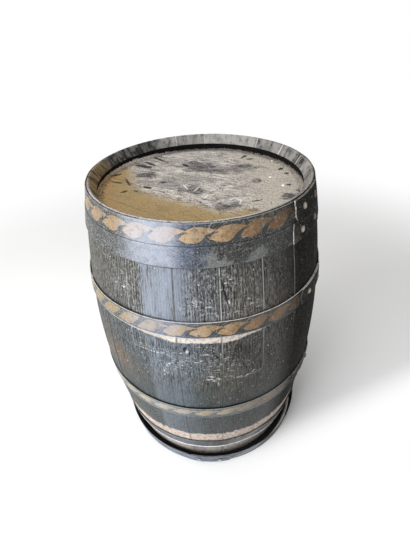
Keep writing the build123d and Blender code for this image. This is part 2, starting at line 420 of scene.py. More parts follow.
    # a curved cut beside the joint right of the middle, dark with a light lip at its foot
    run = tall(0.764, 0.704)
    bow = timesPlus(times(run, run), 0.0090, 0.0366)
    side = shake(less(arc, bow), pits, 0.007)
    inRun = times(tall(0.764, 0.754), tall(0.702, 0.707))
    cut = times(spread(absolute(side), 0.0028, 0.0012), inRun)
    lip = times(spread(absolute(plus(side, -0.0032)), 0.0022, 0.0008), spread(run, 0.88, 0.98, 0, 0.9),
                inRun)
    paint = coat(paint, (cut, "scarAndShadow"), (lip, "fleck"))
    # bare bands left by hoops that moved, and the bare foot
    uneven = shake(shake(z, pits, 0.016), cloud, 0.014)
    flake = shake(uneven, grain(place, 55, 3, 0.7), 0.045)
    strip = times(spread(uneven, 0.126, 0.130), spread(flake, 0.188, 0.182),
                  spread(pits, 0.3, 0.45, 0.7, 1.0))
    deepness = times(plus(turned(-0.75, -0.05, 0.0050, 0.0180), turned(0.12, 0.55, 0, -0.0180)),
                     turned(-2.6, -1.9))
    band = less(plus(uneven, deepness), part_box("upper_bilge_hoop")[0].z)
    band = times(spread(band, -0.002, 0.003), spread(deepness, 0.0005, 0.002), tall(0.622, 0.618))
    foot = tall(0.110, 0.095)
    crumbs = grain(place, 120, 4, 0.75, 0.0, (1, 1, 1.4))
    bareWood = coat("bare", (spread(crumbs, 0.50, 0.60, 0, 0.8), "bareDark"),
                    (spread(crumbs, 0.44, 0.36), "pale"))
    paleWood = coat("pale", (spread(crumbs, 0.50, 0.62, 0, 0.55), "bareDark"),
                    (turned(-0.22, -0.4, 0, 0.35), "bareDark"))
    # the foot is painted lighter towards the floor, painted light against the shade inside the loose hoop
    footWood = coat("foot", (spread(hair, 0.45, 0.62, 0, 0.7), "footDark"),
                    (spread(cloud, 0.45, 0.65, 0, 0.6), "footDark"), (tall(0.07, 0.0), "footPaintedLight"))
    # joints: dusty on the right, dark on the left, hardly there lower down
    broken = spread(grain(place, 70, 3, 0.6, 0.0, level), 0.32, 0.5, 0.25, 1.0)
    dusty = times(most(turned(-0.15, 0.08, 0.35, 0.9), turned(-0.50, -0.53, 0, 0.9)),
                  tall(0.48, 0.66, 0.12, 1.0), turned(-0.8, -0.65, 0.35, 1.0), turned(0.7, 0.5, 0.5, 1.0))
    dark = times(spread(seam, 0.0036, 0.0010), tall(0.5, 0.66, 0.25, 0.7))
    joint = times(spread(seam, 0.0017, 0.0006), broken, dusty)
    shade = coat(paint, (strip, bareWood), (band, paleWood), (foot, footWood), (dark, "groove"),
                 (joint, "seamDust"))
    # painted shadow in the gaps along the hoops, none at the back
    for at, half, full, ends in hoopGapShadows:
        gap = spread(absolute(less(z, at)), half * 1.15, half * 0.75)
        shade = coat(shade, (times(gap, turned(ends, full), less(1.0, behind)), "scarAndShadow"))
    # sawn chime: every stave end has its own tone, darker on the left and on the right
    chime = spread(zone, 0.4, 0.6)
    sawn = grain(alongBoard(0.3), 62, 5, 0.78, 0.4)
    blotch = grain(place, 42, 4, 0.7)
    left = times(turned(-2.85, -2.5), turned(-1.0, -1.5))
    rightEnd = times(turned(0.3, 1.2), turned(1.8, 1.4))
    chimeDarkening = timesPlus(spread(sawn, 0.46, 0.66), 0.45, spread(tone, 0.2, 0.9, -0.05, 0.25))
    for mask, share in ((spread(blotch, 0.46, 0.62), 0.35), (left, 0.65), (rightEnd, 0.30)):
        chimeDarkening = timesPlus(mask, share, chimeDarkening)
    chimeDarkening = plus(chimeDarkening, spread(absolute(less(azimuth, 1.72)), 0.13, 0.04, 0, 0.6))
    nearLeft = times(turned(-2.1, -1.7), turned(-0.3, -0.9), 0.85)
    browner = coat("chimeBrown", (spread(sawn, 0.44, 0.56, 0, 0.9), "chimeDark"))
    chimeJoint = times(spread(seam, 0.0014, 0.0007), spread(tone, 0.55, 0.8))
    rimTop = times(tall(rimZ - 0.005, rimZ - 0.002), spread(pits, 0.40, 0.56, 0.15, 0.9),
                   turned(-1.5, -1.1, 0.15, 1.0), spread(absolute(azimuth), 2.2, 1.2))
    rimTint = coat("rim", (turned(0.2, 0.7), "rimBrown"))
    chimeWood = coat("chime", (chimeDarkening, "chimeDark"), (nearLeft, browner), (chimeJoint, "fleck"),
                     (rimTop, rimTint))
    # black wall above the head, with dust at its foot, the dust painted near white as painted light against
    # the shade in the recess
    thin = most(turned(-1.2, -0.8), turned(-2.3, -3.0))
    dustTop = shake(timesPlus(thin, 0.0055, shake(z, pits, 0.020)), blotch, 0.012)
    wallDustLit = times(spread(dustTop, rimZ - 0.0345, rimZ - 0.0365), timesPlus(thin, -0.75, 1.0),
                     spread(pits, 0.36, 0.5, 0.3, 1.0))
    dustLitTint = coat("greyDustLit", (times(turned(-2.1, -1.7), turned(0.3, -0.3)), "brownDustLit"))
    inner = coat("wall", (spread(pits, 0.52, 0.66, 0, 0.5), "chimeDark"), (wallDustLit, dustLitTint))
    shade = coat(shade, (chime, chimeWood), (spread(zone, 1.4, 1.6), inner))
    dull = most(strip, band, foot, chime, right)
    deep = most(openGrain, hollow)
    gloss = timesPlus(most(dull, deep), 0.35, spread(pits, 0.35, 0.65, 0.56, 0.42))
    shine = timesPlus(pale, 0.2, timesPlus(most(dull, times(deep, 0.7)), -0.30, 0.36))
    dress(surface, shade, gloss, bump(pits, 0.45, 0.0011, bump(ridge, 0.5, 0.0016)), shine)
    return made


# painted steel of the hoops; the rope is painted on those that carry one
hoopPaint = {
    "black": (32, 33, 34), "grey": (74, 76, 76), "low": (84, 91, 91), "paintedSheen": (140, 147, 163),
    "brown": (58, 46, 32), "right": (22, 20, 17), "blue": (70, 84, 112), "scratch": (134, 136, 132),
    "edge": (222, 216, 208), "footEdge": (240, 238, 240), "endWhite": (206, 204, 198),
    "gold": (156, 120, 74), "tail": (104, 92, 70), "goldPale": (172, 149, 120),
    "goldInShade": (116, 82, 46), "goldLeft": (144, 118, 86), "goldLow": (156, 143, 120),
    "goldBlock": (134, 113, 78), "goldLit": (176, 160, 154),
}
# upper and lower outline of one strand, along it in strand lengths, and the blocks it turns into on the left
ropeShape = {
    "topLine": [(0.0, 0.30), (0.16, 0.56), (0.34, 0.78), (0.69, 0.90), (1.0, 0.84), (1.41, 0.66)],
    "footLine": [(0.0, 0.30), (0.2, 0.17), (0.44, 0.09), (0.65, 0.11), (0.75, 0.18), (0.94, 0.46),
                 (1.16, 0.58), (1.41, 0.66)],
    "reach": 1.41,
    "thin": 0.02,
    "blockLean": -0.7,
    "blockStart": 0.95,
    "blockHalf": 0.365,
    "blockSquare": 7.0,
    "lowBare": 0.15,
}


def curveOf(value, points):
    reach = ropeShape["reach"]
    made = addNode("FloatCurve", {1: times(value, 1 / reach)})
    spots = made.mapping.curves[0].points
    for spot, (at, height) in ((spots[0], points[0]), (spots[1], points[-1])):
        spot.location = (at / reach, height)
    for at, height in points[1:-1]:
        spots.new(at / reach, height)
    made.mapping.update()
    return made.outputs[0]


def ropeStrand(along, height):
    top = curveOf(along, ropeShape["topLine"])
    foot = curveOf(along, ropeShape["footLine"])
    above = less(less(height, foot), ropeShape["thin"])
    below = less(less(top, height), ropeShape["thin"])
    shown = times(spread(above, 0.0, 0.04), spread(below, 0.0, 0.04))
    around = times(spread(above, -0.09, -0.02), spread(below, -0.09, -0.02))
    return shown, around, foot


def makeHoopPaint(name, rope, wear, pale):
    made, surface = startMaterial(name)
    coat = partial(layers, hoopPaint)
    place, azimuth, z = wallPlace()[:3]
    turned = partial(spread, azimuth)
    tall = partial(spread, z)
    across, tab = mark("across"), mark("tab")
    fine = grain(place, 210, 4, 0.75)
    patch = grain(place, 75, 4, 0.68)
    cloud = grain(place, 17, 4, 0.6)
    dots = grain(place, 360, 3, 0.7)
    scored = grain(place, 240, 3, 0.6, 0.0, (0.2, 0.2, 1))
    slanted = turnedPlace(place, (0, 0.7, 0))
    rubbed = grain(slanted, 260, 3, 0.65, 0.0, (0.35, 1, 1))
    # painted reflection: a blue tint from the window left of the middle
    blueReflection = times(turned(-0.5, -0.3), turned(0.10, -0.06))
    # painted shade right of the middle, fading out at the back
    shadeRightOfMiddle = times(turned(-0.12, 0.08, 0, 0.75 if rope else 0.4), tall(0.5, 0.6), turned(3.0, 2.2))
    paint = coat("black", (spread(patch, 0.4, 0.66), "grey"), (spread(cloud, 0.46, 0.60, 0, 0.6), "black"),
                 (spread(cloud, 0.42, 0.32, 0, 0.5), "scratch"), (tall(0.5, 0.35, 0, 0.85), "low"),
                 (tall(0.2, 0.14, 0, 0.7), "black"), (spread(fine, 0.50, 0.66, 0, 0.7), "black"),
                 (spread(cloud, 0.72 - wear, 1.0 - wear, 0, 0.9), pale),
                 (times(blueReflection, tall(0.5, 0.7, 0.2, 0.7)), "blue"), (shadeRightOfMiddle, "black"))
    # painted highlight: the window's reflection on the side towards it, soft on the left and sharper on the
    # right
    windowHighlight = times(turned(-0.72, -0.46), turned(-0.12, -0.25))
    windowHighlight = times(windowHighlight, spread(patch, 0.3, 0.6, 0.6, 1.0), tall(0.5, 0.80, 0.25, 1.0))
    # painted shade: the right side goes dark, fading out at the back
    shadedSide = times(turned(0.50, 0.85, 0, 0.95), turned(3.0, 2.1))
    right = times(shadedSide, spread(patch, 0.4, 0.7, 1.0, 0.7))
    dusted = times(spread(dots, 0.55, 0.66), timesPlus(shadedSide, -0.85, 0.95), tall(0.45, 0.6, 0.3, 1.0),
                   timesPlus(shadeRightOfMiddle, -0.5, 1.0))
    pitted = spread(dots, 0.48, 0.37, 0, 0.8)
    normal = bump(cloud, 0.3, 0.006, bump(fine, 0.35, 0.0009))
    if rope:
        wobble = shake(mark("along"), cloud, 0.22)
        here = calc("FRACT", wobble)
        # the rope fills the hoop, on the lowest roped hoop only its upper part
        low = tall(0.5, 0.4)
        bare = ropeShape["lowBare"]
        raised = calc("DIVIDE", less(across, times(low, bare)), timesPlus(low, -bare, 1.0))
        height = shake(raised, patch, 0.14)
        strand, around = ropeStrand(here, height)[:2]
        last, lastAround, lastFoot = ropeStrand(plus(here, 1.0), height)
        # towards the left the strands are square blocks with gaps between
        leaning = plus(shake(wobble, height, ropeShape["blockLean"]), ropeShape["blockStart"])
        leaning = times(absolute(less(calc("FRACT", leaning), 0.5)), 1 / ropeShape["blockHalf"])
        upright = absolute(timesPlus(height, 2.7, -1.42))
        square = ropeShape["blockSquare"]
        block = spread(plus(power(leaning, square), power(upright, square)), 1.12, 0.92)
        atLeft = times(turned(-0.30, -0.36), tall(0.45, 0.5), tall(0.75, 0.7))
        twisted = less(1.0, atLeft)
        strand = plus(times(block, atLeft), times(most(strand, last), twisted))
        gold = times(strand, spread(tab, 0.2, 0.1), spread(patch, 0.30, 0.47, 0.3, 0.95),
                     spread(fine, 0.30, 0.40, 0.55, 1.0))
        tail = times(spread(here, 0.45, 1.0, 0, 0.5), twisted)
        line = absolute(less(less(lastFoot, height), ropeShape["thin"]))
        line = times(spread(line, 0.05, 0.015), spread(here, 0.36, 0.3), twisted, 0.9)
        # the gold is paler in the painted blue reflection, darker in the painted shade on the right and pale
        # pink in the painted highlight
        tint = coat("gold", (spread(patch, 0.42, 0.68), "goldPale"), (turned(-0.35, -0.7), "goldLeft"),
                    (times(blueReflection, 0.6), "goldPale"), (atLeft, "goldBlock"), (low, "goldLow"),
                    (turned(0.05, 0.5), "goldInShade"), (spread(absolute(azimuth), 2.0, 3.0), "gold"),
                    (spread(fine, 0.50, 0.66, 0, 0.6), "brown"),
                    (spread(rubbed, 0.56, 0.68, 0, 0.5), "goldPale"), (tail, "tail"), (line, "black"),
                    (times(windowHighlight, 0.8), "goldLit"))
        outline = times(most(around, lastAround), twisted, spread(tab, 0.2, 0.1, 0, 0.8), tall(0.4, 0.5))
        paint = coat(paint, (outline, "black"), (gold, tint))
        plain = timesPlus(gold, -0.85, 1.0)
        windowHighlight = times(windowHighlight, timesPlus(gold, -0.40, 1.0))
        dusted = times(dusted, plain)
        pitted = times(pitted, plain)
        normal = bump(gold, 0.15, 0.0003, normal)
    else:
        blot = grain(slanted, 26, 3, 0.6, 0.0, (0.6, 1, 1))
        facing = times(turned(-0.2, 0.05), turned(1.4, 0.7))
        paint = coat(paint, (times(spread(blot, 0.50, 0.40, 0, 0.5), facing), "scratch"),
                     (times(spread(blot, 0.50, 0.59, 0, 0.95), facing), "right"))
    scratched = times(spread(rubbed, 0.54, 0.66), spread(cloud, 0.38, 0.58, 0.25, 0.7),
                      timesPlus(shadedSide, -0.7, 1.0))
    chipped = times(fleckMask(place, 260, turned(-0.45, -0.75, 0.06, 0.3)), spread(fine, 0.4, 0.6, 0.2, 0.8))
    # rubbed edges, as much as each hoop has them, and the white of the cut end
    edgeFoot = mark("edgeFoot")
    worn = spread(patch, 0.32, 0.52, 0.45, 1.0)
    top = times(spread(across, 0.978, 0.992), mark("edgeTop"), turned(-0.35, 0.0, 0.75, 1.0), worn)
    foot = times(spread(less(across, times(edgeFoot, 0.15)), 0.01, -0.03), edgeFoot,
                 most(turned(0.4, 0.1), tall(0.4, 0.3)), worn)
    torn = times(spread(shake(mark("fromEnd"), patch, 0.010), 0.0032, 0.0016), tall(0.7, 0.75, 0.15, 1.0),
                 spread(fine, 0.4, 0.55, 0.3, 1.0))
    paint = coat(paint, (times(windowHighlight, 0.75), "paintedSheen"), (right, "right"), (scratched, "scratch"),
                 (times(spread(scored, 0.64, 0.74), 0.3), "edge"), (dusted, "scratch"),
                 (times(pitted, timesPlus(windowHighlight, -0.65, 1.0)), "black"), (chipped, "edge"), (top, "edge"),
                 (foot, "footEdge"), (torn, "endWhite"),
                 (spread(mark("inside"), 0.55, 0.8, 0, 0.9), "right"))
    rough = timesPlus(right, 0.3, spread(fine, 0.35, 0.7, 0.34, 0.58))
    dress(surface, paint, rough, normal, timesPlus(windowHighlight, 0.3, timesPlus(right, -0.4, 0.45)))
    return made


# head boards
headPaint = {
    "ochre": (150, 128, 88), "ochreDark": (108, 90, 58), "orange": (152, 118, 74),
    "grey": (142, 137, 132), "pale": (207, 200, 191), "beige": (172, 164, 152), "dark": (58, 55, 58),
    "gouge": (24, 21, 18), "speck": (250, 248, 240),
}


def makeHeadWood():
    made, surface = startMaterial("head_oak")
    coat = partial(layers, headPaint)
    place, x = objectPlace()[:2]
    along = turnedPlace(place, (0, 0, 0.45))  # the dirt runs along the boards
    smear = grain(along, 40, 6, 0.72, 1.4, (0.45, 1, 1))
    cloud = grain(along, 9, 3, 0.6, 0.0, (0.7, 1, 1))
    scuff = grain(along, 85, 6, 0.75, 0.8, (0.45, 1, 1))
    hairs = grain(along, 150, 4, 0.65, 0.6, (0.16, 1, 1))
    fine = grain(place, 210, 4, 0.75)
    fromMiddle = mark("fromMiddle")
    # dirt in smudges, thickest over the middle and the back, with scratches through it
    clear = spread(x, 0.18, 0.06, 0.25, 1.0)
    dirt = most(times(mark("smudge"), spread(smear, 0.3, 0.60, 0.5, 1.5)),
                times(spread(smear, 0.47, 0.64, 0, 0.9), clear))
    dirt = times(dirt, spread(scuff, 0.40, 0.58, 0.35, 1.15))
    rim = spread(fromMiddle, 0.212, 0.244)
    ochre = spread(shake(shake(mark("ochre"), cloud, 0.5), scuff, 0.6), 0.05, 0.95)
    tan = coat("ochre", (spread(fine, 0.46, 0.66, 0, 0.7), "ochreDark"),
               (spread(smear, 0.46, 0.64, 0, 0.5), "ochreDark"),
               (spread(scuff, 0.56, 0.72, 0, 0.45), "grey"), (times(rim, spread(scuff, 0.4, 0.6)), "orange"))
    specks = times(spread(fine, 0.57, 0.66), timesPlus(rim, 0.7, 0.3))
    corner = times(spread(fromMiddle, 0.238, 0.2515), spread(scuff, 0.42, 0.58), 0.85)
    wood = coat("grey", (spread(scuff, 0.38, 0.62), "pale"), (spread(x, 0.06, 0.16, 0, 0.85), "beige"),
                (dirt, "dark"), (times(spread(hairs, 0.55, 0.66, 0, 0.75), clear), "dark"),
                (times(spread(hairs, 0.40, 0.30, 0, 0.8), clear), "pale"),
                (spread(fine, 0.51, 0.62, 0, 0.75), "dark"), (spread(fine, 0.43, 0.34, 0, 0.7), "pale"),
                (ochre, tan), (most(specks, corner), "gouge"), (mark("gouge"), "gouge"),
                (mark("speck"), "speck"))
    normal = bump(fine, 0.3, 0.0008, bump(scuff, 0.3, 0.0015))
    dress(surface, wood, spread(smear, 0.3, 0.7, 0.8, 0.62), normal, 0.3)
    return made


def makePlainWood(name, tint, dark):
    made, surface = startMaterial(name)
    lines = grain(objectPlace()[0], 240, 5, 0.6, 0.0, (1, 0.2, 1))
    wood = layers({}, tint, (spread(lines, 0.35, 0.7), dark))
    dress(surface, wood, spread(lines, 0.3, 0.7, 0.6, 0.8), bump(lines, 0.3, 0.001))
    return made


def makeRivetSteel(name, tint, domeRubbedAndLit):
    made, surface = startMaterial(name)
    place, azimuth = wallPlace()[:2]
    dents = grain(place, 420, 4, 0.6)
    # the dome is rubbed bright and carries a painted highlight, it is grimy at its foot, and painted shade
    # darkens it towards the right
    dome = shake(mark("dome"), dents, 0.9)
    shade = layers(hoopPaint, tint, (spread(dome, 0.3, 1.05), domeRubbedAndLit),
                   (spread(azimuth, 0.9, 1.06, 0, 0.75), "brown"))
    dress(surface, shade, spread(dents, 0.3, 0.7, 0.25, 0.5), bump(dents, 0.4, 0.001))
    return made


staveMaterial = makeStavePaint()
ropeHoopMaterial = makeHoopPaint("painted_hoop_rope", True, 0.05, (150, 150, 154))
plainHoopMaterial = makeHoopPaint("painted_hoop_plain", False, 0.1, (120, 124, 130))
looseHoopMaterial = makeHoopPaint("loose_hoop_worn", False, 0.44, (88, 105, 124))
headMaterial = makeHeadWood()
dowelMaterial = makePlainWood("dowel_oak", (178, 150, 112), (140, 112, 80))
bungMaterial = makePlainWood("bung_oak", (150, 126, 96), (104, 84, 62))
rivetMaterial = makeRivetSteel("rivet_steel", (74, 62, 46), (188, 180, 164))
dullRivetMaterial = makeRivetSteel("rivet_dull", (34, 36, 40), (176, 184, 192))
nailMaterial = makeRivetSteel("nail_iron", (26, 26, 28), (128, 132, 138))
print("materials made")

# staves
staveShape = {
    "chimeFlat": 0.005,
    "chimeDeep": 0.024,
    "chimeEdge": 0.0006,
    "corner": 0.0012,
    "crozeTop": 0.0492,
    "crozeFoot": 0.0568,
    "crozeDeep": 0.006,
    "seam": 0.00012,
    "roundWide": 0.0026,
    "roundDeep": 0.0009,
    "setBack": 0.0007,
    "cup": 0.0006,
    "grainDeep": 0.00016,
    "rimWear": 0.0012,
    "dents": 5,
    "rows": 96,
    "chimeRows": 7,
    "innerRows": 22,
    "wallDepths": (0.0245, 0.032, 0.041),
    "edgeCells": (0, 0.0006, 0.0013, 0.0026, 0.005),
    "edgeFree": 0.009,
    "cell": 0.006,
    "seed": 400,
}


def staveProfile():
    # radius, height and zone: 0 painted outside, 1 chime, 2 inside
    shape = staveShape
    corner, flat = shape["corner"], shape["chimeFlat"]

    def insideRow(z, extra=0.0):
        return float(outerRadius(z)) - cask["staveThick"] + extra, z, 2
    rows = [(float(outerRadius(z)), z, 0) for z in np.linspace(corner, rimZ - corner, shape["rows"])]
    # from the outer corner over the chime, down the wall and past the croze
    edge = cask["endRadius"]
    inward = insideRow(rimZ - shape["chimeDeep"])[0] - edge + flat
    top = [(edge - 0.0004, rimZ - 0.0003, 0.5), (edge - corner, rimZ, 1), (edge - flat + corner, rimZ, 1),
           (edge - flat, rimZ - shape["chimeEdge"], 1)]
    for share in np.linspace(0.06, 0.985, shape["chimeRows"]):
        drop = shape["chimeEdge"] + share * (shape["chimeDeep"] - shape["chimeEdge"])
        top.append((edge - flat + share * inward, rimZ - drop, 1))
    top += [insideRow(rimZ - depth) for depth in (*shape["wallDepths"], shape["crozeTop"])]
    top += [insideRow(rimZ - shape[key], shape["crozeDeep"]) for key in ("crozeTop", "crozeFoot")]
    top.append(insideRow(rimZ - shape["crozeFoot"]))
    inside = [insideRow(z) for z in np.linspace(rimZ - 0.08, 0.08, shape["innerRows"])]
    bottom = [(r, rimZ - z, kind) for r, z, kind in reversed(top)]
    return np.array(rows + top + inside + bottom)


def buildStaves():
    shape = staveShape
    radius, height, zone = staveProfile().T
    start = cask["firstJoint"]
    made = []
    for index, wide in enumerate(cask["staveWidths"]):
        rng = np.random.default_rng(shape["seed"] + index)
        name = f"stave_{index + 1:02d}"
        turn = math.radians(wide)
        arc = turn * bilgeRadius
        near, free = np.array(shape["edgeCells"]), shape["edgeFree"]
        count = max(6, int(arc / shape["cell"]))
        places = np.concatenate([near, np.linspace(free, arc - free, count), arc - near[::-1]])
        share = places / arc
        angle = math.radians(start) + turn * share
        inset = (0.5 - share[:, None]) * 2 * shape["seam"] / radius[None, :]
        az = angle[:, None] + inset
        fromEdge = np.minimum(share, 1 - share)[:, None] * turn * radius[None, :]
        edge = shape["roundDeep"] * np.clip(1 - fromEdge / shape["roundWide"], 0, 1) ** 2
        tall, wideAt = np.meshgrid(height, share * arc)
        # set back, cupped, grained and dented, less so at the ends
        back = shape["setBack"] * rng.uniform(0.1, 1) * (1 + 0.4 * ripple(tall * 5, wideAt * 4, 20 + index))
        back = back + shape["cup"] * rng.uniform(0.3, 1) * (1 - (2 * share[:, None] - 1) ** 2)
        back = back + shape["grainDeep"] * np.abs(ripple(wideAt * 420, tall * 9, 60 + index))
        for dent in range(shape["dents"]):
            atZ, atW = rng.uniform(0.05, 0.84), rng.uniform(0.1, 0.9) * arc
            size, deep = rng.uniform(0.006, 0.022), rng.uniform(0.0003, 0.0011)
            back = back + deep * np.exp(-((tall - atZ) / (size * 1.8)) ** 2 - ((wideAt - atW) / size) ** 2)
        back = back * (1 - 0.85 * ease(np.abs(tall - rimZ / 2), rimZ / 2 - 0.07, rimZ / 2 - 0.035))
        r = np.broadcast_to(radius[None, :], az.shape)
        r = np.where((zone < 0.6)[None, :], r - np.clip(back, 0, 0.003) - edge, r)
        r = np.where((zone == 1)[None, :], r + 0.6 * edge, r)
        # the rim is chipped and each stave ends at its own height
        chips = np.clip(ripple(wideAt * 330, tall * 0, 90 + index) - 0.5, 0, 1.2) * 0.0007
        wear = rng.uniform(0, 0.6) * shape["rimWear"] + chips
        z = tall - wear * ease(tall, rimZ - 0.012, rimZ - 0.0002)
        z = z + 0.4 * chips * (1 - ease(tall, 0.0002, 0.012))
        marks = {
            "seam": fromEdge,
            "tone": np.full(az.shape, rng.uniform(0, 1)),
            "zone": np.broadcast_to(zone[None, :], az.shape),
        }
        points = aroundAxis(r, az, z).reshape(-1, 3)
        faces = sweepFaces(len(share), len(height))
        made.append(makePiece(name + "_wood", points, faces, "cask", name, staveMaterial,
                              marks))
        start += wide
    return made


staves = buildStaves()
print("staves", len(staves), "points in each about", len(staves[0].data.vertices))

# bung and the hole for it through one stave
bungShape = {
    "stave": 9,
    "radius": 0.026,
    "taper": 0.08,
    "proud": 0.008,
    "reach": 0.006,
    "room": 0.0003,
    "drill": (-0.06, 0.03),
    "drillSteps": 64,
    "steps": 56,
    # turned rings on its end: share of the radius and depth
    "rings": [(0.86, 0), (0.8, 0.0004), (0.62, 0), (0.56, 0.0004), (0.36, 0), (0.3, 0.0004), (0.1, 0)],
}


def latheFaces(rings, steps):
    faces = []
    for i in range(rings - 1):
        for k in range(steps):
            n = (k + 1) % steps
            faces.append((i * steps + k, i * steps + n, (i + 1) * steps + n, (i + 1) * steps + k))
    faces.append(tuple(reversed(range(steps))))
    faces.append(tuple((rings - 1) * steps + k for k in range(steps)))
    return faces


def lathePoints(profile, steps, origin, axis, seed, rough):
    axis = Vector(axis).normalized()
    side = axis.orthogonal().normalized()
    other = axis.cross(side)
    angle = np.linspace(0, 2 * math.pi, steps, endpoint=False)
    points = []
    for level, (radius, high) in enumerate(profile):
        uneven = 1 + rough * ripple(np.cos(angle) * 2.2, np.sin(angle) * 2.2 + level * 0.35, seed)
        points.append(np.array(origin)[None, :] + high * np.array(axis)[None, :]
                      + (radius * uneven * np.cos(angle))[:, None] * np.array(side)[None, :]
                      + (radius * uneven * np.sin(angle))[:, None] * np.array(other)[None, :])
    return np.concatenate(points)


def makeDomes(name, seats, shape, body, node, material):
    # a set of small domed heads; each seat has a foot, an outward axis and a seed
    profile = [(shape["radius"] * r, shape["high"] * h) for r, h in shape["dome"]]
    steps = shape["steps"]
    points = []
    faces = []
    for count, (foot, out, seed) in enumerate(seats):
        base = count * len(profile) * steps
        points.append(lathePoints(profile, steps, foot, out, seed, shape["rough"]))
        faces += [tuple(base + k for k in face) for face in latheFaces(len(profile), steps)]
    domes = np.tile(np.repeat([h for r, h in shape["dome"]], steps), len(seats))
    makePiece(name, np.concatenate(points), faces, body, node, material, {"dome": domes})


def buildBung():
    shape = bungShape
    widths = cask["staveWidths"]
    middle = math.radians(cask["firstJoint"] + sum(widths[:shape["stave"]]) + widths[shape["stave"]] / 2)
    axis = Vector((math.sin(middle), -math.cos(middle), 0))
    face = axis * bilgeRadius + Vector((0, 0, rimZ / 2))
    depth = cask["staveThick"] + shape["reach"]
    proud = shape["proud"]

    def wideAt(high):
        return shape["radius"] + shape["taper"] * high / 2
    cutter = [(wideAt(high) + shape["room"], high) for high in shape["drill"]]
    steps = shape["drillSteps"]
    drill = addObject("bungDrill", newMesh("bungDrill", lathePoints(cutter, steps, face, axis, 1, 0.0),
                                           latheFaces(2, steps)))
    stave = staves[shape["stave"]]
    cut = stave.modifiers.new("bungHole", "BOOLEAN")
    cut.operation = "DIFFERENCE"
    cut.object = drill
    bpy.context.view_layer.update()
    holed = bpy.data.meshes.new_from_object(stave.evaluated_get(bpy.context.evaluated_depsgraph_get()))
    stave.modifiers.remove(cut)
    stave.data = holed
    bpy.data.objects.remove(drill)
    end = wideAt(-depth)
    profile = [(end * 0.5, -depth), (end - 0.002, -depth), (end, -depth + 0.002)]
    profile += [(wideAt(high), high) for high in np.linspace(-depth + 0.006, proud - 0.003, 8)]
    profile += [(wideAt(proud) - 0.0008, proud - 0.0008), (wideAt(proud) - 0.0024, proud)]
    profile += [(wideAt(proud) * share, proud - deep) for share, deep in shape["rings"]]
    points = lathePoints(profile, shape["steps"], face, axis, 7, 0.004)
    makePiece("bung_wood", points, latheFaces(len(profile), shape["steps"]), "bung", "bung",
              bungMaterial)


buildBung()
print("bung and its hole made")

# heads
headShape = {
    "radius": 0.2697,
    "flat": 0.2517,
    "thick": 0.022,
    "tongue": 0.008,
    "boardShares": [0.15, 0.18, 0.165, 0.18, 0.175, 0.15],
    "gap": 0.00025,
    "roundWide": 0.0024,
    "roundDeep": 0.0008,
    "roundSteps": (0.0009, 0.0024),
    "sink": 0.0006,
    "swell": 0.0004,
    "gougeDeep": 0.0012,
    "bend": 30,
    "seed": 700,
}
# marks on the top head: ends and width of gouges, then smudges as middle, half sizes and strength
topHeadMarks = {
    "gouges": [(-0.183, 0.153, -0.139, 0.128, 0.006), (-0.160, 0.173, -0.128, 0.144, 0.004),
               (-0.132, 0.208, -0.093, 0.163, 0.004), (-0.242, 0.078, -0.220, 0.090, 0.005),
               (-0.235, 0.042, -0.212, 0.030, 0.0035), (-0.200, -0.030, -0.186, -0.022, 0.0032),
               (-0.168, -0.022, -0.158, -0.032, 0.0032), (-0.143, -0.003, -0.127, -0.012, 0.004),
               (-0.106, 0.015, -0.092, 0.019, 0.003), (-0.199, 0.052, -0.183, 0.011, 0.002),
               (0.124, 0.165, 0.142, 0.189, 0.0032), (0.142, 0.154, 0.156, 0.158, 0.0038),
               (0.216, 0.064, 0.226, 0.074, 0.0035), (0.229, 0.037, 0.236, 0.038, 0.004),
               (0.218, -0.035, 0.225, -0.034, 0.0035), (0.235, -0.068, 0.237, -0.068, 0.004),
               (0.118, -0.118, 0.142, -0.110, 0.002), (-0.046, 0.146, -0.033, 0.120, 0.007)],
    "smudges": [(-0.142, 0.074, 0.028, 0.026, 1.2), (0.005, 0.118, 0.05, 0.045, 0.95),
                (0.085, 0.085, 0.08, 0.032, 0.7), (-0.06, 0.02, 0.1, 0.045, 0.45),
                (-0.022, -0.038, 0.036, 0.030, 0.85), (0.048, -0.139, 0.038, 0.020, 0.9),
                (-0.09, 0.155, 0.06, 0.03, 0.3), (0.02, 0.2, 0.08, 0.025, 0.2),
                (0.138, -0.004, 0.018, 0.02, 0.75), (0.094, -0.042, 0.016, 0.016, 0.35),
                (0.212, -0.097, 0.022, 0.018, 1.4), (0.113, -0.163, 0.014, 0.008, 1.0),
                (0.062, -0.153, 0.012, 0.01, 0.9)],
    "specks": [(0.208, 0.131), (0.183, 0.017), (0.206, -0.038)],
    "scratches": [(-0.042, -0.007, -0.033, -0.033), (-0.017, -0.046, -0.004, -0.024),
                  (0.007, -0.088, 0.015, -0.075), (0.068, -0.103, 0.080, -0.094),
                  (0.080, -0.094, 0.093, -0.111), (0.093, -0.111, 0.089, -0.126)],
    # how far from the middle the ochre begins, by azimuth
    "ochreEdge": [(-180, 0.30), (-140, 0.28), (-123, 0.238), (-116, 0.212), (-101, 0.184), (-80, 0.152),
                  (-63, 0.127), (-29, 0.110), (-2, 0.126), (5, 0.145), (12, 0.165), (21, 0.176),
                  (33, 0.189), (40, 0.23), (48, 0.30), (180, 0.30)],
}


def fromLine(x, y, x0, y0, x1, y1):
    dx, dy = x1 - x0, y1 - y0
    t = np.clip(((x - x0) * dx + (y - y0) * dy) / (dx * dx + dy * dy), 0, 1)
    return np.hypot(x - x0 - t * dx, y - y0 - t * dy), t


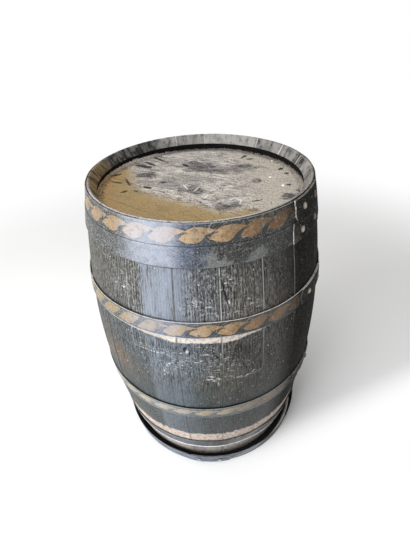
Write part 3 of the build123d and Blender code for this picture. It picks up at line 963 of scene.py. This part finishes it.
def headMarks(x, y, used):
    made = {key: np.zeros_like(x) for key in ("gouge", "smudge", "speck", "ochre")}
    made["fromMiddle"] = np.hypot(x, y)
    if not used:
        return made

    def add(key, mask):
        made[key] = np.maximum(made[key], mask)
    for *ends, wide in used["gouges"]:
        away, t = fromLine(x, y, *ends)
        fuller = 0.9 * np.sin(math.pi * np.clip(t, 0.1, 0.9))
        thin = wide * (0.7 + fuller + 0.35 * ripple(x * 170, y * 170, 8))
        add("gouge", 1 - ease(away, thin * 0.5, thin * 1.15 + 0.0004))
    for cx, cy, rx, ry, level in used["smudges"]:
        away = np.hypot((x - cx) / rx, (y - cy) / ry) + 0.25 * ripple(x * 90, y * 90, 5)
        add("smudge", level * (1 - ease(away, 0.5, 1.3)))
    for ends in used["scratches"]:
        add("speck", 0.55 * (1 - ease(fromLine(x, y, *ends)[0], 0.0008, 0.0026)))
    for cx, cy in used["specks"]:
        add("speck", 1 - ease(np.hypot(x - cx, y - cy), 0.0024, 0.0044))
    edge = np.array(used["ochreEdge"])
    begins = np.interp(np.degrees(np.arctan2(x, -y)), edge[:, 0], edge[:, 1])
    made["ochre"] = ease(np.hypot(x, y) - begins, -0.05, 0.05)
    return made


def headDisc(n):
    # a round grid of n by n points with a bevelled rim, a tongue and a flat underside
    shape = headShape
    half = shape["thick"] / 2
    u, v = np.meshgrid(np.linspace(-1, 1, n), np.linspace(-1, 1, n), indexing="ij")
    x = shape["flat"] * u * np.sqrt(1 - v ** 2 / 2)
    y = shape["flat"] * v * np.sqrt(1 - u ** 2 / 2)
    points = [np.stack([x.ravel(), y.ravel(), np.full(x.size, half)], -1)]
    faces = []
    for i in range(n - 1):
        for k in range(n - 1):
            faces.append((i * n + k, (i + 1) * n + k, (i + 1) * n + k + 1, i * n + k + 1))
    rim = [k for k in range(n)] + [i * n + n - 1 for i in range(1, n)]
    rim += [(n - 1) * n + k for k in range(n - 2, -1, -1)] + [i * n for i in range(n - 2, 0, -1)]
    scale = shape["radius"] / shape["flat"]
    for out, level in ((scale, shape["tongue"] / 2), (scale, -shape["tongue"] / 2), (1.0, -half)):
        ring = points[0][rim]
        ring[:, :2] *= out
        ring[:, 2] = level
        points.append(ring)
    count = len(rim)
    loops = [rim] + [[n * n + step * count + k for k in range(count)] for step in range(3)]
    for a, b in zip(loops, loops[1:]):
        for k in range(count):
            m = (k + 1) % count
            faces.append((a[k], a[m], b[m], b[k]))
    middle = n * n + 3 * count
    points.append(np.array([[0, 0, -half]]))
    for k in range(count):
        faces.append((loops[3][k], loops[3][(k + 1) % count], middle))
    return np.concatenate(points), faces


def buildHead(prefix, turn, flip, cellsAcross, used):
    shape = headShape
    low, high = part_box(prefix + "_board_3")
    mesh = newMesh(prefix, *headDisc(cellsAcross))
    edges = -shape["radius"] + 2 * shape["radius"] * np.cumsum([0] + shape["boardShares"])
    spin = math.radians(turn)
    seat = (Matrix.Translation((0, 0, (low.z + high.z) / 2)) @ Matrix.Rotation(spin, 4, "Z")
            @ Matrix.Diagonal((1, 1, flip, 1)))
    for index in range(len(shape["boardShares"])):
        name = f"{prefix}_board_{index + 1}"
        rng = np.random.default_rng(shape["seed"] + index)
        work = bmesh.new()
        work.from_mesh(mesh)
        bmesh.ops.recalc_face_normals(work, faces=work.faces)
        cuts = []
        if index > 0:
            cuts.append((edges[index] + shape["gap"], -1))
        if index < len(shape["boardShares"]) - 1:
            cuts.append((edges[index + 1] - shape["gap"], 1))
        for at, side in cuts:
            everything = work.verts[:] + work.edges[:] + work.faces[:]
            found = bmesh.ops.bisect_plane(work, geom=everything, plane_co=(0, at, 0),
                                           plane_no=(0, side, 0), clear_outer=True)
            rim = [e for e in found["geom_cut"] if isinstance(e, bmesh.types.BMEdge)]
            bmesh.ops.edgenet_fill(work, edges=rim)
            for step in shape["roundSteps"]:
                everything = work.verts[:] + work.edges[:] + [f for f in work.faces if len(f.verts) < 9]
                bmesh.ops.bisect_plane(work, geom=everything, plane_co=(0, at - side * step, 0),
                                       plane_no=(0, side, 0))
        co = np.array([v.co for v in work.verts])
        fromEdge = np.full(len(co), 1.0)
        for at, side in cuts:
            fromEdge = np.minimum(fromEdge, np.abs(co[:, 1] - at))
        x = co[:, 0] * math.cos(spin) - co[:, 1] * math.sin(spin)
        y = co[:, 0] * math.sin(spin) + co[:, 1] * math.cos(spin)
        marks = headMarks(x, y, used)
        onTop = ease(co[:, 2], shape["tongue"] / 2, shape["thick"] / 2)
        drop = shape["roundDeep"] * np.clip(1 - fromEdge / shape["roundWide"], 0, 1) ** 2
        drop = drop + shape["sink"] * rng.uniform(0, 1)
        swell = ripple(co[:, 0] * 14, co[:, 1] * 40, 30 + index)
        drop = drop + shape["swell"] * np.clip(swell + 1, 0, 3) / 2
        drop = drop + shape["gougeDeep"] * marks["gouge"]
        co[:, 2] = co[:, 2] - drop * onTop
        for v, where in zip(work.verts, co):
            v.co = where
        bmesh.ops.recalc_face_normals(work, faces=work.faces)
        bmesh.ops.triangulate(work, faces=[f for f in work.faces if len(f.verts) > 6])
        board = bpy.data.meshes.new(name + "_wood")
        work.to_mesh(board)
        work.free()
        writeMarks(board, {key: values * onTop for key, values in marks.items()})
        board.transform(seat)
        if flip < 0:
            board.flip_normals()
        finishPiece(name + "_wood", board, "cask", name, headMaterial, shape["bend"])
    bpy.data.meshes.remove(mesh)


buildHead("top_head", -38, 1, 230, topHeadMarks)
buildHead("bottom_head", 24, -1, 60, None)
for name in ("top_head_dowels", "bottom_head_dowels"):
    bpy.data.objects[name].data.materials.clear()
    bpy.data.objects[name].data.materials.append(dowelMaterial)
print("heads made")

# hoops, each a strip whose outer end laps over its inner end
hoopShape = {
    "wide": 0.0455,
    "thick": 0.0025,
    "corner": 0.0008,
    "room": 0.00015,
    "lap": 0.128,
    "ramp": 0.026,
    "edgeWave": 0.0005,
    "wobble": 0.0003,
    "endCut": 0.0022,
    "endCorner": 0.004,
    "stepDegrees": 1.6,
    "bend": 50,
}
rivetShape = {
    "fromEnd": 0.036,
    "pitch": 0.066,
    "radius": 0.008,
    "high": 0.004,
    "steps": 28,
    "rough": 0.05,
    "dome": [(1.0, -0.05), (1.02, 0.1), (0.97, 0.3), (0.88, 0.52), (0.74, 0.72), (0.55, 0.88), (0.32, 0.97),
             (0.1, 1.0)],
}
# free end azimuth and the way the strip runs from it, rope lobes and the azimuth of one lobe tip,
# how rubbed the top and foot edges are, then flares: middle, half width, top, foot
hoops = {
    "top_head_hoop": {"end": 42.5, "way": 1, "lobes": 29, "tip": 1.9, "edges": (0.3, 0.1),
                      "flares": [(-100, 60, 0.0010, 0.0)]},
    "top_quarter_hoop": {"end": 39.5, "way": 1, "lobes": 0, "tip": 0, "edges": (0.0, 0.15),
                         "flares": [(-60, 50, 0.0008, 0.0006)]},
    "upper_bilge_hoop": {"end": 45, "way": 1, "lobes": 33, "tip": 3.0, "edges": (1.0, 0.42),
                         "flares": [(-42, 40, 0.0018, 0.0), (30, 30, 0.001, 0)]},
    "lower_bilge_hoop": {"end": 46, "way": 1, "lobes": 35, "tip": 1.1, "edges": (0.5, 0.0),
                         "flares": [(-10, 50, 0.0014, 0.0)]},
    "bottom_quarter_hoop": {"end": 62, "way": 1, "lobes": 0, "tip": 0, "edges": (0.1, 1.0),
                            "flares": [(0, 60, 0.0, 0.0016)]},
    "loose_foot_hoop": {"end": 9, "way": -1, "lobes": 0, "tip": 0, "edges": (0.2, 0.1), "flares": [],
                        "seat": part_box("bottom_quarter_hoop")[0].z, "shift": (0.005, -0.002)},
}


def hoopSection():
    # depth outward and height across, once round the strip's cut
    wide, thick, corner = hoopShape["wide"], hoopShape["thick"], hoopShape["corner"]
    outer = [(thick, corner + s * (wide - 2 * corner)) for s in np.linspace(0, 1, 15)]
    top = [(thick - 0.00025, wide - 0.0002), (thick / 2, wide), (0.00025, wide - 0.0002)]
    inner = [(0.0, wide - corner - s * (wide - 2 * corner)) for s in np.linspace(0, 1, 5)]
    foot = [(0.00025, 0.0002), (thick / 2, 0.0), (thick - 0.00025, 0.0002)]
    return np.array(outer + top + inner + foot)


def flareBell(degrees, at, half):
    away = (degrees - at + 180) % 360 - 180
    return np.cos(np.clip(away / half, -1, 1) * math.pi / 2) ** 2


def buildHoop(name, facts, material, body, rivetFinish):
    shape = hoopShape
    wide, thick, way = shape["wide"], shape["thick"], facts["way"]
    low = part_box(name)[0].z
    seatMiddle = facts.get("seat", low) + wide / 2
    middle, slope = float(outerRadius(seatMiddle)) + shape["room"], outerSlope(seatMiddle)
    lap = math.degrees(shape["lap"] / middle)
    ramp = math.degrees(shape["ramp"] / middle)
    seed = sum(ord(letter) for letter in name)
    step = shape["stepDegrees"]
    turns = np.concatenate([[0, 0.12, 0.4, 0.9], np.arange(step, 360 + lap - 1, step), [360 + lap]])
    section = hoopSection()
    p, across = np.meshgrid(turns, section[:, 1], indexing="ij")
    depth = np.broadcast_to(section[:, 0][None, :], p.shape)
    share = across / wide
    az = np.radians(facts["end"] + way * p)
    lift = (thick + 0.0001) * (1 - ease(p, lap, lap + ramp))
    extra = np.clip(shape["wobble"] * (1 + ripple(np.cos(az) * 6, np.sin(az) * 6, seed)) * 0.5, 0, None)
    for at, half, topFlare, footFlare in facts["flares"]:
        flare = topFlare * share ** 2 + footFlare * (1 - share) ** 2
        extra = extra + flareBell(np.degrees(az), at, half) * flare
    radius = middle + slope * (across - wide / 2) + depth + lift + extra
    wave = shape["edgeWave"] * ripple(np.cos(az) * 9 + share, np.sin(az) * 9, seed + 3)
    wave = wave * np.abs(2 * share - 1)
    wave = np.where(share > 0.5, np.clip(wave, -0.001, 0.0002), np.clip(wave, -0.0002, 0.001))
    z = np.maximum(low + across + wave, 0.0)
    # the free end is a hand cut, a little uneven and with its corners off
    cut = shape["endCut"] * ripple(share * 9, share * 0, seed + 5)
    cut = cut + shape["endCorner"] * np.abs(2 * share - 1) ** 6
    az = az + way * (cut / middle) * (1 - ease(p, 0, 1.2))
    shift = np.array([*facts.get("shift", (0.0, 0.0)), 0.0])
    marks = {
        "along": (np.degrees(az) - facts["tip"]) * facts["lobes"] / 360,
        "across": share,
        "tab": (p < lap + ramp * 0.5).astype(float),
        "fromEnd": np.radians(p) * middle,
        "edgeTop": facts["edges"][0] * (depth / thick) ** 0.7,
        "edgeFoot": np.full(p.shape, facts["edges"][1]),
        "inside": 1 - depth / thick,
    }
    points = aroundAxis(radius, az, z).reshape(-1, 3) + shift
    faces = sweepFaces(len(turns), len(section))
    makePiece(name + "_band", points, faces, body, name, material, marks, shape["bend"])
    seats = []
    for count in range(2):
        along = rivetShape["fromEnd"] + count * rivetShape["pitch"]
        at = math.radians(facts["end"]) + way * along / middle
        bulge = sum(flareBell(math.degrees(at), centre, half) * (topFlare + footFlare) / 4
                    for centre, half, topFlare, footFlare in facts["flares"])
        foot = aroundAxis(middle + 2 * thick + 0.0002 + bulge, at, low + wide / 2) + shift
        seats.append((foot, outward(at, slope), seed + count))
    makeDomes(name + "_rivet_heads", seats, rivetShape, body, name + "_rivets", rivetFinish)


for name, facts in hoops.items():
    if name == "loose_foot_hoop":
        buildHoop(name, facts, looseHoopMaterial, "loose_hoop", dullRivetMaterial)
    else:
        material = ropeHoopMaterial if facts["lobes"] else plainHoopMaterial
        buildHoop(name, facts, material, "cask", rivetMaterial)
print("hoops and rivets made")

# nails through the staves near the floor
nailShape = {
    "height": 0.028,
    "sunk": 0.0006,
    "radius": 0.005,
    "high": 0.0022,
    "steps": 20,
    "rough": 0.08,
    "dome": [(1.0, -0.1), (1.04, 0.15), (0.9, 0.45), (0.6, 0.8), (0.28, 0.98), (0.1, 1.0)],
    "azimuths": [7.2, 51.6, 92.3, 148.5, 201.7, 250.1, 300.5, 353.0],
    "seed": 40,
}


def buildNails():
    height = nailShape["height"]
    seats = []
    for count, azimuth in enumerate(nailShape["azimuths"]):
        at = math.radians(azimuth)
        foot = aroundAxis(float(outerRadius(height)) - nailShape["sunk"], at, height)
        seats.append((foot, outward(at, outerSlope(height)), nailShape["seed"] + count))
    makeDomes("foot_nail_heads", seats, nailShape, "cask", "foot_nails", nailMaterial)


buildNails()
print("nails made")

# floor, light and camera
floorPaint = {
    "colour": (247, 247, 247),
    "under": (40, 38, 37),
    "shadowDiscRadius": 0.297,
    "size": 8,
    "fadeFrom": 1.0,
    "fadeTo": 2.4,
    "front": (0.39, -0.92),
    "frontAt": (0.30, -0.21),
}


def seenRay():
    path = addNode("LightPath").outputs
    return most(path["Is Camera Ray"], path["Is Glossy Ray"], path["Is Transmission Ray"])


def addCard(name, corners, tint):
    # one flat staging sheet, plain but for what its own shader adds
    mesh = newMesh(name, corners, [(0, 1, 2, 3)])
    made, surface = startMaterial(name)
    dress(surface, colour(*tint), 0.9, None, 0.1)
    mesh.materials.append(made)
    card = addObject(name, mesh)
    return card, surface


def buildFloor():
    half = floorPaint["size"] / 2
    corners = [(-half, -half, 0), (half, -half, 0), (half, half, 0), (-half, half, 0)]
    surface = addCard("studio_floor", corners, floorPaint["colour"])[1]
    out = surface.outputs[0].links[0].to_node
    place, x, y = objectPlace()[:3]
    away = addNode("VectorMath", {0: place}, operation="LENGTH").outputs["Value"]
    # painted shadow under the cask and inside the loose hoop; far off the floor fades into the white room
    radius = floorPaint["shadowDiscRadius"]
    under = spread(away, radius + 0.004, radius - 0.004)
    feed(surface.inputs["Base Color"], layers(floorPaint, "colour", (under, "under")))
    frontX, frontY = floorPaint["front"]
    offset = -frontX * floorPaint["frontAt"][0] - frontY * floorPaint["frontAt"][1]
    ahead = timesPlus(x, frontX, timesPlus(y, frontY, offset))
    shown = times(spread(ahead, 0.07, -0.07), spread(away, floorPaint["fadeTo"], floorPaint["fadeFrom"]))
    shown = most(shown, spread(away, radius + 0.006, radius))
    white = addNode("Emission", {"Color": (1, 1, 1, 1), "Strength": 1.0})
    room = times(less(1.0, shown), seenRay())
    mixed = addNode("MixShader", {0: room, 1: surface.outputs[0], 2: white.outputs[0]})
    feed(out.inputs[0], mixed.outputs[0])


buildFloor()

studio = {
    "sky": 0.38,
    "lamps": {
        # place, target, width, height, watts, colour
        "window": ((-1.25, -1.45, 0.92), (0, -0.1, 0.75), 1.15, 1.75, 30, (0.93, 0.965, 1.0)),
        "side_window": ((-3.4, -1.4, 1.55), (0.3, 0.15, 0.25), 1.3, 1.6, 62, (1.0, 0.985, 0.96)),
        "overhead": ((-0.5, -0.3, 3.0), (0, 0, 0.5), 2.2, 2.2, 52, (1.0, 0.99, 0.97)),
    },
    # dark card on the right, out of the picture, that keeps that side dim
    "card": [(1.9, 0.2, 0.01), (1.9, 2.2, 0.01), (1.9, 2.2, 1.6), (1.9, 0.2, 1.6)],
    "cardTint": (24, 24, 24),
}


def buildLight():
    world = bpy.data.worlds.new("studio_sky")
    bpy.context.scene.world = world
    world.use_nodes = True
    bench["tree"] = world.node_tree
    world.node_tree.nodes.clear()
    ambient = addNode("Background", {"Color": (1, 1, 1, 1), "Strength": studio["sky"]})
    white = addNode("Background", {"Color": (1, 1, 1, 1), "Strength": 1.0})
    pick = addNode("MixShader", {0: seenRay(), 1: ambient.outputs[0], 2: white.outputs[0]})
    addNode("OutputWorld", {0: pick.outputs[0]})
    for name, (place, target, wide, high, watts, tint) in studio["lamps"].items():
        lamp = bpy.data.lights.new(name, "AREA")
        lamp.shape = "RECTANGLE"
        lamp.size = wide
        lamp.size_y = high
        lamp.energy = watts
        lamp.color = tint
        made = addObject(name, lamp)
        made.location = place
        made.rotation_euler = (Vector(target) - Vector(place)).to_track_quat("-Z", "Y").to_euler()
        made.visible_camera = False
    card = addCard("dark_card", studio["card"], studio["cardTint"])[0]
    card.visible_camera = False


buildLight()

cameraFacts = {
    "place": (0.0, -0.8904, 1.2327),
    "pitch": 37.298,
    "roll": -2.9606,
    "lens": 24.02,
    "sensor": 36,
    "near": 0.01,
}


def buildCamera():
    pitch, roll = math.radians(cameraFacts["pitch"]), math.radians(cameraFacts["roll"])
    ahead = Vector((0, math.cos(pitch), -math.sin(pitch)))
    right = Vector((1, 0, 0))
    up = right.cross(ahead)
    tiltedRight = right * math.cos(roll) + up * math.sin(roll)
    tiltedUp = up * math.cos(roll) - right * math.sin(roll)
    lens = bpy.data.cameras.new("viewpoint")
    lens.sensor_width = cameraFacts["sensor"]
    lens.lens = cameraFacts["lens"]
    lens.clip_start = cameraFacts["near"]
    made = addObject("viewpoint", lens)
    turn = Matrix((tiltedRight, tiltedUp, -ahead)).transposed().to_4x4()
    made.matrix_world = Matrix.Translation(cameraFacts["place"]) @ turn
    bpy.context.scene.camera = made


buildCamera()
bpy.context.scene.view_settings.view_transform = "Standard"
print("floor, light and camera set")
